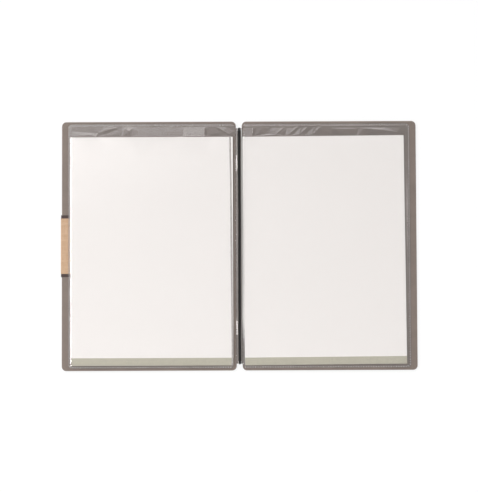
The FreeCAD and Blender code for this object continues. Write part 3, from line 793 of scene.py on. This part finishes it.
def front_film(side):
    """The front of a pocket: flat welds, a step over the paper, and a crumpled head.

    The right film lies askew with its sheet and stands up beside its fore weld. The left film has a wider
    fore weld, and it spreads to its crease above the sheet."""
    given = sizes()
    left = side == "left"
    mouth, far, half, base, top = leaf_extent(side)
    near = mouth + (0.5 if left else 0.0)
    wall = given.film_wall / MM
    crumple = given.crumple / MM
    weld = given.weld_width / MM
    step = weld + given.weld_slope / MM
    shoulder = 1.4
    more_weld = 1.1
    before_weld = 1.6
    skew = 0.0 if left else RIGHT_SKEW
    skew_start = 5.0
    above_sheet = 0.7
    beside_crease = 0.8
    flush = wall + HAIR_GAP
    plateau = top - base + HAIR_GAP
    chance = random.Random(11 if left else 29)
    draft = FilmDraft()

    def paper_head(u):
        """Where the crumpled head begins, just above the sheet."""
        return SHEET_HEAD + above_sheet + skew * (u - skew_start)

    def edge(v):
        """Where the film ends beside the spine."""
        plain = mouth_at(side, mouth, v)
        if not left or v < SHEET_HEAD:
            return plain
        corner = max(0.0, v - half + LEAF_CORNER)
        rounding = math.sqrt(max(0.0, LEAF_CORNER * LEAF_CORNER - corner * corner))
        spine_side = given.crease / MM + (beside_crease + LEAF_CORNER) - rounding
        return plain + (spine_side - plain) * ramp(v, SHEET_HEAD, 2.0)

    def outline(inset):
        """A row inside the film's outline whose two ends lie on its edge beside the spine."""
        row = rim_row(near, far, half, inset, 6.0)
        limit = far - inset - (more_weld if left and inset else 0.0)
        foot, head = [(edge(v), v) for v in (row[0][1], row[-1][1])]
        return [foot, *((min(u, limit), v) for u, v in row[1:-1]), head]

    def bulge(u, v, inset):
        """How far the film stands up beside its fore weld, less so towards the head."""
        if left or inset >= LEAF_CORNER:
            return 0.0
        settled_place = 140.0
        settling = min(1.0, max(0.2, (settled_place - v) / 80.0))
        beside = max(0.0, (u - far + LEAF_CORNER) / (LEAF_CORNER - inset))
        return given.fore_bulge / MM * settling * beside

    flat_rows = (0.0, weld - before_weld, weld) if left else (0.0, weld)
    rows = [draft.line([(u, v, flush) for u, v in outline(inset)]) for inset in flat_rows]
    shoulder_rows = [(step, 1.0), (step + shoulder, 0.5)]
    if not left:
        shoulder_rows.append((step + 2.0 * shoulder, 0.0))
    for inset, share in shoulder_rows:
        row = []
        for u, v in outline(inset):
            unrest = 0.05 * chance.random() if share else 0.02
            row.append((u, v, plateau + share * bulge(u, v, inset) + unrest))
        rows.append(draft.line(row))
    draft.line([(u, paper_head(u), plateau + crumple * share) for u, share in HEAD_LINE[side]])
    for crease in HEAD_CREASES[side]:
        draft.line([(u, v, plateau + crumple * share) for u, v, share in crease])
    for _ in range(500):
        u = chance.uniform(near + 3.0, far - 9.0)
        v = chance.uniform(paper_head(u) + 1.6, half - step - 1.2)
        if draft.clear_of(u, v, 6.0):
            share = head_share(side, u)
            left_over = 1.0 - (v - paper_head(u)) / (half - step - paper_head(u))
            wrinkle = max(0.0, 1.0 - 2.0 * share) * chance.uniform(0.0, 0.2)
            draft.add(u, v, plateau + crumple * (share * left_over + wrinkle))
    for u in spread(near + 5.0, far - 8.0, 10.0):
        share = 0.4 * head_share(side, u)
        draft.add(u, paper_head(u) - 3.0, plateau + crumple * share + 0.02 * chance.random())
    mouth_head = 136.0
    places = spread(-half + step + 3.0, mouth_head, 9.0)
    if left:
        places += [SHEET_HEAD, *spread(SHEET_HEAD + 2.0, half - step - 3.0, 3.0)]
    inner = draft.line([(edge(v), v, plateau + 0.02 * chance.random()) for v in places])
    draft.fold([*(row[0] for row in rows), *inner, *(row[-1] for row in reversed(rows))])
    for v in spread(-half + step + 4.0, mouth_head - 2.0, 21.0):
        for u in spread(near + 14.0, far - 16.0, 21.0):
            draft.add(u, v + chance.uniform(-4.0, 4.0), plateau + 0.03 * chance.random())
    points, faces = draft.triangles()

    def middle(face):
        return [sum(points[corner][axis] for corner in face) / 3.0 for axis in (0, 1)]

    faces = [face for face in faces if middle(face)[0] > edge(middle(face)[1]) - 0.02]
    sign = OUTWARD[side]
    solid, shell = closed_sheet([(sign * u, v, base + h) for u, v, h in points], faces, wall)
    flat = []
    for index, face in enumerate(faces):
        u, v = middle(face)
        if v > paper_head(u):
            flat += [index, index + len(faces)]
    made = new_piece(f"{side}_pocket_front", solid, shell, pocket_film("front"), flat)
    face_outwards(made)
    return made


def back_film(side):
    """The flat back of a pocket, with the rounded crease that it turns about."""
    given = sizes()
    _, far, half, base, _ = leaf_extent(side)
    sign = OUTWARD[side]
    wall = given.film_wall / MM
    crease = given.crease / MM
    bend = crease + LEAF_CORNER
    straight = half - LEAF_CORNER
    level = -0.005
    chance = random.Random(5 if side == "left" else 17)
    draft = FilmDraft()
    outline = rim_row(bend, far, half, 0.0, 9.0)
    outline += arc(bend, straight, LEAF_CORNER, 90.0, 180.0)
    outline += [(crease, v) for v in spread(straight, -straight, 9.0)[1:]]
    outline += arc(bend, -straight, LEAF_CORNER, 180.0, 270.0)[:-1]
    border = draft.line([(u, v, level) for u, v in outline])
    draft.fold([border[-1], border[0]])
    for _ in range(400):
        u = chance.uniform(crease + 6.0, far - 4.0)
        v = chance.uniform(LOOSE_HEAD, half - 4.0)
        if draft.clear_of(u, v, 7.0):
            draft.add(u, v, level - 0.05 * chance.random())
    for v in spread(-half + 10.0, LOOSE_HEAD - 5.0, 30.0):
        for u in spread(crease + 12.0, far - 12.0, 30.0):
            draft.add(u, v, level)
    points, faces = draft.triangles()
    solid, shell = closed_sheet([(sign * u, v, base + h) for u, v, h in points], faces, wall - HAIR_GAP)
    across = (crease - CREASE_RADIUS, crease + CREASE_RADIUS)
    under = base - wall / 2.0 - CREASE_RADIUS
    rows = [(v, *across, under, CREASE_RADIUS) for v in spread(-straight, straight, 9.0)]
    add_shell(solid, shell, *flat_bead(rows, sign))
    made = new_piece(f"{side}_pocket_back", solid, shell, pocket_film("back"))
    face_outwards(made)
    return made


def weld_dot_tree(material):
    """Geometry nodes: flattened dots at an even pitch along an edge path."""
    tree = bpy.data.node_groups.new("weld_dots", "GeometryNodeTree")
    add_socket = tree.interface.new_socket
    add_socket(name="Geometry", in_out="INPUT", socket_type="NodeSocketGeometry")
    for label, value in (("Pitch", 0.003), ("Length", 0.0015), ("Width", 0.001), ("Height", 0.0002)):
        add_socket(name=label, in_out="INPUT", socket_type="NodeSocketFloat").default_value = value
    add_socket(name="Seed", in_out="INPUT", socket_type="NodeSocketInt").default_value = 3
    add_socket(name="Geometry", in_out="OUTPUT", socket_type="NodeSocketGeometry")
    given = tree.nodes.new("NodeGroupInput").outputs
    result = tree.nodes.new("NodeGroupOutput")
    curve = node(tree, "GeometryNodeMeshToCurve", Mesh=given["Geometry"])
    even = node(tree, "GeometryNodeResampleCurve", {"mode": "LENGTH"}, Length=given["Pitch"])
    join(tree, curve.outputs[0], even.inputs["Curve"])
    dot = node(tree, "GeometryNodeMeshUVSphere", Segments=12, Rings=5, Radius=0.5)
    size = node(tree, "ShaderNodeCombineXYZ", X=given["Length"], Y=given["Width"], Z=given["Height"])
    shaped = node(tree, "GeometryNodeTransform", Geometry=dot.outputs["Mesh"], Scale=size.outputs[0])
    smooth = node(tree, "GeometryNodeSetShadeSmooth", Geometry=shaped.outputs[0])
    tangent = tree.nodes.new("GeometryNodeInputTangent")
    turn = node(tree, "FunctionNodeAlignEulerToVector", {"axis": "X", "pivot_axis": "Z"})
    join(tree, tangent.outputs[0], turn.inputs["Vector"])
    vary = node(tree, "FunctionNodeRandomValue", {"data_type": "FLOAT"}, Seed=given["Seed"])
    limits = [socket for socket in vary.inputs if socket.type == "VALUE" and socket.name in ("Min", "Max")]
    for socket, value in zip(limits, (0.8, 1.1)):
        socket.default_value = value
    varied = next(socket for socket in vary.outputs if socket.type == "VALUE" and socket.enabled)
    scatter = node(
        tree,
        "GeometryNodeInstanceOnPoints",
        Points=even.outputs[0],
        Instance=smooth.outputs[0],
        Rotation=turn.outputs[0],
        Scale=varied,
    )
    real = node(tree, "GeometryNodeRealizeInstances", Geometry=scatter.outputs[0])
    painted = node(tree, "GeometryNodeSetMaterial", Geometry=real.outputs[0], Material=material)
    join(tree, painted.outputs[0], result.inputs[0])
    return tree


def grow(name, points_mm, tree, values, material):
    """Runs a geometry node tree on an edge path and keeps the result as a plain mesh."""
    path = bpy.data.meshes.new(f"{name}_path")
    edges = [(index, index + 1) for index in range(len(points_mm) - 1)]
    path.from_pydata(in_metres(points_mm), edges, [])
    carrier = new_object(f"{name}_path", path)
    modifier = carrier.modifiers.new("grow", "NODES")
    modifier.node_group = tree
    for item in tree.interface.items_tree:
        if item.in_out == "INPUT" and item.name in values:
            modifier[item.identifier] = values[item.name]
    bpy.context.view_layer.update()
    graph = bpy.context.evaluated_depsgraph_get()
    mesh = bpy.data.meshes.new_from_object(carrier.evaluated_get(graph))
    carrier.modifiers.remove(modifier)
    bpy.data.objects.remove(carrier)
    if not mesh.polygons:
        raise RuntimeError(f"{name} came out empty")
    mesh.name = name
    mesh.materials.clear()
    mesh.materials.append(material)
    return new_object(name, mesh)


def painted_light_share(place):
    """How much painted light the folded film beside the right sheet takes: a painted reflection, a little
    stronger towards the head and falling away at the foot. The place is -1 at the foot and 1 at the head.
    """
    return (0.75 + 0.2 * max(0.0, place)) * ramp(place, -0.82, 0.22)


def waves(chance):
    """Three seeded phases for slow waves along a piece."""
    return [chance.uniform(0.0, 2.0 * math.pi) for _ in range(3)]


def mouth_hem(side):
    """The folded edge of a pocket's mouth: a flat bead that lifts and settles along its length.

    On the right, a fold of film lies on the pocket's back as well, from the crease to the sheet; the right
    hem and this fold are painted pale as painted light."""
    given = sizes()
    left = side == "left"
    sign = OUTWARD[side]
    mouth, _, half, base, top = leaf_extent(side)
    width = (given.left_hem if left else given.right_hem) / MM
    fullness = 1.0 if left else 0.2
    step = (given.weld_width + given.weld_slope) / MM
    places = spread(step + 0.8 - half, LOOSE_HEAD, 3.0)
    phase = waves(random.Random(3 if left else 8))
    rows = []
    for v in places:
        lift = 0.1 + 0.04 * math.sin(v / 23.0 + phase[0]) + 0.03 * math.sin(v / 9.0 + phase[1])
        wide = width * (1.0 + 0.08 * math.sin(v / 31.0 + phase[2]))
        near = mouth_at(side, mouth, v)
        rows.append((v, near, near + wide, top + 0.02, fullness * lift))
    points, faces = flat_bead(rows, sign)
    if left:
        # Painted shade: the left hem's grey is partly folded film and partly a painted shadow along the
        # mouth's edge.
        material = frosted_material("folded_hem", colours().hem, 0.72, 0.22)
    else:
        material = folded_film(side)
        crease = given.crease / MM
        rows = []
        for v in places:
            sheet = RIGHT_SHEET_LOW[0] + RIGHT_SKEW * (RIGHT_SHEET_HIGH[1] - v)
            rows.append((v, crease + 0.22, max(crease + 0.3, sheet - 0.12), base + 0.005, 0.04))
        add_shell(points, faces, *flat_bead(rows, sign))
    made = new_piece(f"{side}_mouth_hem", points, faces, material)
    if not left:
        # Painted light: the right hem and fold take the painted pale share, strongest towards the head.
        store(made, "veil", [0.1 + 0.9 * painted_light_share(v / half) for _, v, _ in points])
    face_outwards(made)
    return made


def gutter_film(side):
    """Half of the film under the elastic, arched beside it, down to the crease of one leaf.

    The arch is high where the film is taut and uneven elsewhere, and the film flares at both ends."""
    given = sizes()
    _, high = box_mm("gutter_film")
    back_low, _ = box_mm(f"{side}_back_film")
    wall = given.film_wall / MM
    clear_of_crease = 0.26
    crease = given.crease / MM - clear_of_crease
    end = back_low[2] + CREASE_RADIUS + wall / 2.0
    hump = given.gutter_hump / MM
    ear = given.fold_ear / MM
    rise = 0.5
    crown = 1.9
    taut_place = 107.0
    taut_reach = 13.0
    columns = spread(0.0, crease, 0.3)
    places = spread(-1.0, 1.0, 1.0 / 90.0)
    phase = waves(random.Random(41 if side == "left" else 43))
    points = []
    veils = []
    sign = OUTWARD[side]
    for place in places:
        v = place * (high[1] - 0.6)
        taut = math.exp(-(((abs(v) - taut_place) / taut_reach) ** 4))
        slow = 0.5 + 0.5 * math.sin(v / 31.0 + phase[0])
        quick = math.sin(v / 11.0 + phase[1]) * math.sin(v / 7.0 + phase[2])
        loose = hump * (0.15 + 0.4 * slow + 0.1 * quick)
        tuck = min(1.0, (high[1] - abs(v)) / 6.0)
        arch = tuck * (loose + (hump - loose) * taut)
        for u in columns:
            climb = ramp(u, rise, crown - rise)
            top = high[2] + arch * climb * climb * (3.0 - 2.0 * climb)
            z = top + (end - top) * ramp(u, crown, crease - crown)
            flare = ear * ramp(u, 2.05, 0.3) * ramp(abs(place), 0.97, 0.03)
            points.append((sign * u, v + math.copysign(flare, place), z))
            # Painted light on the right: the film is painted pale away from the elastic, and close beside
            # the elastic it stays dark as painted shade of the elastic.
            veils.append(0.2 if side == "left" else 0.12 + painted_light_share(place) * ramp(u, 3.0, 0.7))
    faces = strip_faces(len(places), len(columns))
    solid, shell = closed_sheet(points, faces, wall)
    made = new_piece(f"{side}_gutter_film", solid, shell, folded_film(side))
    store(made, "veil", veils + veils)
    face_outwards(made)
    return made


def fold_skin(side):
    """The leatherette that bends between the spine strip and a cover, with ears past the strip's ends."""
    wall = sizes().fold_wall / MM
    strip_edge = STRIP_HIGH[0]
    strip_under = STRIP_LOW[2]
    cover_edge = SKIN_LOW[0]
    beside_cord = CORD_HIGH[0] + 0.15 if side == "right" else 0.25 - CORD_LOW[0]
    section = [
        (strip_edge - 1.0, strip_under - 0.02),
        (strip_edge - 0.55, strip_under - 0.03),
        (strip_edge - 0.2, strip_under - 0.12),
        (strip_edge + 0.08, strip_under - 0.32),
        (cover_edge - 0.1, strip_under - 0.62),
        (cover_edge - 0.02, strip_under - 1.0),
        (cover_edge - 0.02, strip_under - 1.5),
    ]
    last = len(section) - 1
    end = STRIP_HIGH[1] + sizes().fold_ear / MM
    places = [-end, -end + 0.3, STRIP_LOW[1] - 0.3, STRIP_LOW[1]]
    places += [*spread(STRIP_LOW[1] + 2.0, STRIP_HIGH[1] - 2.0, 4.0), *(-v for v in reversed(places))]
    chance = random.Random(2)
    points = []
    sign = OUTWARD[side]
    for v in places:
        pucker = 0.05 * chance.random()
        inner = beside_cord if abs(v) > STRIP_HIGH[1] else section[0][0]
        row = [(inner, section[0][1]), *section[1:]]
        outer_face = []
        inner_face = []
        for number, (u, z) in enumerate(row):
            lean = number / last
            sag = pucker * math.sin(math.pi * number / last)
            outer_face.append((sign * u, v, z - sag))
            inner_face.append((sign * (u - wall * lean), v, z - wall * (1.0 - lean) - sag))
        points += outer_face + inner_face[::-1]
    faces = tube_faces(len(places), 2 * len(section))
    made = new_piece(f"{side}_fold_skin", points, faces, leatherette_material("bent_leatherette"))
    face_outwards(made)
    return made


def loop_place(way, run, bend, inner, outer):
    """A point of the elastic's middle line, at a way from the head end of its inner run.

    Gives the point as (place along the spine, height), and the direction out of the loop."""
    if way < 2.0 * run:
        return (run - way, inner), (0.0, 1.0)
    if way < 2.0 * run + math.pi * bend:
        end = -run
        angle = math.pi / 2.0 + (way - 2.0 * run) / bend
    elif way < 4.0 * run + math.pi * bend:
        return (-run + (way - 2.0 * run - math.pi * bend), outer), (0.0, -1.0)
    else:
        end = run
        angle = -math.pi / 2.0 + (way - 4.0 * run - math.pi * bend) / bend
    outwards = (math.cos(angle), math.sin(angle))
    return (end + bend * outwards[0], (inner + outer) / 2.0 + bend * outwards[1]), outwards


def elastic_loop():
    """The braided elastic: one closed loop round the spine strip, with a neck under its crimp."""
    given = sizes()
    radius = (CORD_HIGH[0] - CORD_LOW[0]) / 2.0
    inner = CORD_HIGH[2] - radius
    outer = CORD_LOW[2] + radius
    bend = (inner - outer) / 2.0
    run = CORD_HIGH[1] - radius - bend
    axis = (CORD_LOW[0] + CORD_HIGH[0]) / 2.0
    total = 4.0 * run + 2.0 * math.pi * bend
    neck_end = box_mm("cord_crimp")[1][1] + 0.2
    neck_radius = radius - 0.46
    rings = round(total / (given.braid_step / MM))
    strands = given.braid_strands
    turns = round(total / (2.0 * math.pi * radius / strands) / strands) * strands
    around = 28
    relief = given.braid_relief / MM
    weave = 0.28
    points = []
    crowns = []
    for ring in range(rings):
        (along, level), outwards = loop_place(total * ring / rings, run, bend, inner, outer)
        drift = 0.0
        if level == inner:
            hold = min(1.0, (run - abs(along)) / 20.0)
            sway = math.sin(along / 41.0 + 0.6) + 0.45 * math.sin(along / 17.0)
            drift = given.cord_sway / MM * hold * sway
        necked = level == outer and abs(along) < neck_end
        for index in range(around):
            angle = 2.0 * math.pi * index / around
            first = strands * index / around + turns * ring / rings
            second = strands * index / around - turns * ring / rings
            over = 1.0 - weave + weave * math.cos(2.0 * math.pi * second)
            under = 1.0 - weave - weave * math.cos(2.0 * math.pi * first)
            crown = max(math.cos(math.pi * first) ** 2 * over, math.cos(math.pi * second) ** 2 * under)
            reach = neck_radius if necked else radius - relief + relief * crown
            side = reach * math.sin(angle)
            out = reach * math.cos(angle)
            points.append((axis + drift + side, along + out * outwards[0], level + out * outwards[1]))
            crowns.append(crown)
    faces = strip_faces(rings, around, closed_rows=True, closed_columns=True)
    made = new_piece("elastic_loop", points, faces, elastic_material())
    store(made, "crown", crowns)
    face_outwards(made, 180.0)
    return made


# Operators


class MENUFOLDER_OT_covers(bpy.types.Operator):
    """Finish the covers: leatherette skins, linings and boards"""

    bl_idname = "menu_folder.covers"
    bl_label = "Covers"

    def execute(self, context):
        lining = lining_material()
        board = greyboard_material()
        for side in SIDES:
            dress(f"{side}_outer_skin", leatherette_material("turned_in_leatherette", turned_in=True))
            dress(f"{side}_lining", lining)
            dress(f"{side}_board", board)
        return {"FINISHED"}


class MENUFOLDER_OT_spine(bpy.types.Operator):
    """Finish the spine strip and bend leatherette from it to both covers"""

    bl_idname = "menu_folder.spine"
    bl_label = "Spine and folds"

    def execute(self, context):
        dress("spine_skin", leatherette_material("bent_leatherette"))
        dress("spine_lining", leatherette_material("bent_leatherette"))
        for side in SIDES:
            skin = fold_skin(side)
            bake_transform(skin)
        return {"FINISHED"}


class MENUFOLDER_OT_pockets(bpy.types.Operator):
    """Build the front and back film of both clear pockets"""

    bl_idname = "menu_folder.pockets"
    bl_label = "Clear pockets"

    def execute(self, context):
        for side in SIDES:
            for made, replaced in ((front_film(side), "front_film"), (back_film(side), "back_film")):
                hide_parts(f"{side}_{replaced}")
                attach(made, f"{side}_leaf")
        return {"FINISHED"}


class MENUFOLDER_OT_welds(bpy.types.Operator):
    """Press the rows of weld dots and fold the hems of the pockets' mouths"""

    bl_idname = "menu_folder.welds"
    bl_label = "Welds and hems"

    def execute(self, context):
        given = sizes()
        material = frosted_material("weld_dot", colours().weld, 0.85, 0.3)
        tree = weld_dot_tree(material)
        values = {
            "Pitch": given.weld_pitch,
            "Length": given.dot_length,
            "Width": given.dot_width,
            "Height": given.dot_height,
        }
        for side in SIDES:
            mouth, far, half, base, _ = leaf_extent(side)
            level = base + given.film_wall / MM + HAIR_GAP
            row = rim_row(mouth + 1.5, far, half, given.weld_inset / MM, 6.0)
            path = [(OUTWARD[side] * u, v, level) for u, v in row]
            dots = grow(f"{side}_weld_dots", path, tree, {**values, "Seed": 3}, material)
            hem = mouth_hem(side)
            for made in (dots, hem):
                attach(made, f"{side}_leaf")
        return {"FINISHED"}


class MENUFOLDER_OT_gutter(bpy.types.Operator):
    """Lay the film that passes under the elastic, from leaf to leaf"""

    bl_idname = "menu_folder.gutter"
    bl_label = "Gutter film"

    def execute(self, context):
        for side in SIDES:
            made = gutter_film(side)
            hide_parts("gutter_film")
            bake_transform(made)
        return {"FINISHED"}


class MENUFOLDER_OT_elastic(bpy.types.Operator):
    """Braid the elastic loop and finish its crimp"""

    bl_idname = "menu_folder.elastic"
    bl_label = "Elastic and crimp"

    def execute(self, context):
        loop = elastic_loop()
        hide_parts("elastic_cord")
        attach(loop, "spine")
        dress("cord_crimp", crimp_material())
        return {"FINISHED"}


class MENUFOLDER_OT_paper(bpy.types.Operator):
    """Finish the two paper sheets with their printed foot bands"""

    bl_idname = "menu_folder.paper"
    bl_label = "Paper sheets"

    def execute(self, context):
        dress("left_sheet", paper_material("left", 0.0))
        dress("right_sheet", paper_material("right", RIGHT_SKEW))
        return {"FINISHED"}


class MENUFOLDER_OT_label(bpy.types.Operator):
    """Finish the kraft label and its dark backing"""

    bl_idname = "menu_folder.label"
    bl_label = "Paper label"

    def execute(self, context):
        dress("kraft_label", kraft_material())
        dress("label_backing", backing_material())
        return {"FINISHED"}


def floor_material():
    """Pale floor that shows white to the camera and in reflections, and still takes the shadow."""
    material, tree, shader, output = new_material("pale_floor")
    base = colours().floor
    (dark,) = shades(base, 0.985)
    cloud = noise(tree, object_point(tree), 3.0, 3.0)
    feed_all(tree, shader, Base_Color=mix_colour(tree, cloud, dark, base), Roughness=0.9)
    light = node(tree, "ShaderNodeEmission", Color=(1.0, 1.0, 1.0, 1.0), Strength=1.0)
    path = tree.nodes.new("ShaderNodeLightPath").outputs
    seen = math_node(tree, "ADD", path["Is Camera Ray"], path["Is Glossy Ray"])
    seen = math_node(tree, "ADD", seen, path["Is Transmission Ray"], clamp=True)
    mix_shaders(tree, math_node(tree, "MULTIPLY", seen, 0.82), shader, light, output)
    return material


def studio_world():
    """A grey surround that is bright towards a window at the head, a little to the left."""
    world = bpy.data.worlds.new("studio")
    world.use_nodes = True
    tree = world.node_tree
    tree.nodes.clear()
    window = node(tree, "ShaderNodeVectorMath", {"operation": "DOT_PRODUCT"})
    feed(tree, window.inputs[0], tree.nodes.new("ShaderNodeTexCoord").outputs["Generated"])
    feed(tree, window.inputs[1], (-0.4, 0.917, 0.0))
    bright = map_range(tree, window.outputs["Value"], 0.08, 0.34, 0.0, 1.0, smooth=True)
    light = mix_colour(tree, bright, (0.35, 0.35, 0.35), (1.75, 1.75, 1.75))
    sky = node(tree, "ShaderNodeBackground", Color=light, Strength=1.0)
    node(tree, "ShaderNodeOutputWorld", Surface=sky.outputs[0])
    return world


def area_light(name, place, size, brightness):
    """A soft panel that faces the folder's middle. Brightness is what a mirror would show of it."""
    lamp = bpy.data.lights.new(name, "AREA")
    lamp.shape = "RECTANGLE"
    lamp.size, lamp.size_y = size
    lamp.energy = brightness * math.pi * size[0] * size[1]
    made = new_object(name, lamp)
    made.location = place
    made.rotation_euler = (-Vector(place)).to_track_quat("-Z", "Y").to_euler()
    made.visible_camera = False


def camera_above():
    """A camera that looks almost straight down, rolled a little, at so many millimetres for each pixel."""
    distance = 1.4
    pixel = 1.3 * MM
    longer_side = 492.0
    lift = math.radians(88.2)
    target = Vector((-0.0003, -0.0006, 0.004))
    camera = bpy.data.cameras.new("camera")
    camera.sensor_width = 36.0
    camera.lens = camera.sensor_width * distance / (longer_side * pixel)
    made = new_object("camera", camera)
    back = Vector((0.0, -math.cos(lift), math.sin(lift)))
    made.location = target + back * distance
    look = (-back).to_track_quat("-Z", "Y").to_matrix()
    roll = Matrix.Rotation(math.radians(-0.22), 3, "Z")
    made.rotation_euler = (look @ roll).to_euler()
    return made


class MENUFOLDER_OT_stage(bpy.types.Operator):
    """Set up the floor, the soft light and the camera above the folder"""

    bl_idname = "menu_folder.stage"
    bl_label = "Floor, light and camera"

    def execute(self, context):
        reach = 9000.0
        level = -0.02
        corners = [(x * reach, y * reach, level) for x, y in ((-1, -1), (1, -1), (1, 1), (-1, 1))]
        new_piece("floor", corners, [(0, 1, 2, 3)], floor_material())
        context.scene.world = studio_world()
        area_light("key_left", (-1.2, 0.0, 1.2), (1.28, 0.35), 7.7)
        area_light("fill_foot", (0.0, -1.2, 0.6), (1.4, 0.4), 2.6)
        context.scene.camera = camera_above()
        context.scene.view_settings.view_transform = "Standard"
        return {"FINISHED"}


class MENUFOLDER_PT_panel(bpy.types.Panel):
    """Sizes, colours and steps of the menu folder"""

    bl_label = "Menu Folder"
    bl_idname = "MENUFOLDER_PT_panel"
    bl_space_type = "VIEW_3D"
    bl_region_type = "UI"
    bl_category = "Menu Folder"

    def draw(self, context):
        layout = self.layout
        for group in (context.scene.menu_folder_sizes, context.scene.menu_folder_colours):
            column = layout.column(align=True)
            for name in group.__annotations__:
                column.prop(group, name)
        for step in STEPS:
            layout.operator(step.bl_idname)


STEPS = (
    MENUFOLDER_OT_covers,
    MENUFOLDER_OT_spine,
    MENUFOLDER_OT_pockets,
    MENUFOLDER_OT_welds,
    MENUFOLDER_OT_gutter,
    MENUFOLDER_OT_elastic,
    MENUFOLDER_OT_paper,
    MENUFOLDER_OT_label,
    MENUFOLDER_OT_stage,
)
CLASSES = (MenuFolderSizes, MenuFolderColours, *STEPS, MENUFOLDER_PT_panel)


def register():
    for item in CLASSES:
        bpy.utils.register_class(item)
    bpy.types.Scene.menu_folder_sizes = PointerProperty(type=MenuFolderSizes)
    bpy.types.Scene.menu_folder_colours = PointerProperty(type=MenuFolderColours)


def unregister():
    del bpy.types.Scene.menu_folder_colours
    del bpy.types.Scene.menu_folder_sizes
    for item in reversed(CLASSES):
        bpy.utils.unregister_class(item)


def main():
    register()
    for step in STEPS:
        family, name = step.bl_idname.split(".")
        getattr(getattr(bpy.ops, family), name)()


if __name__ == "__main__":
    main()
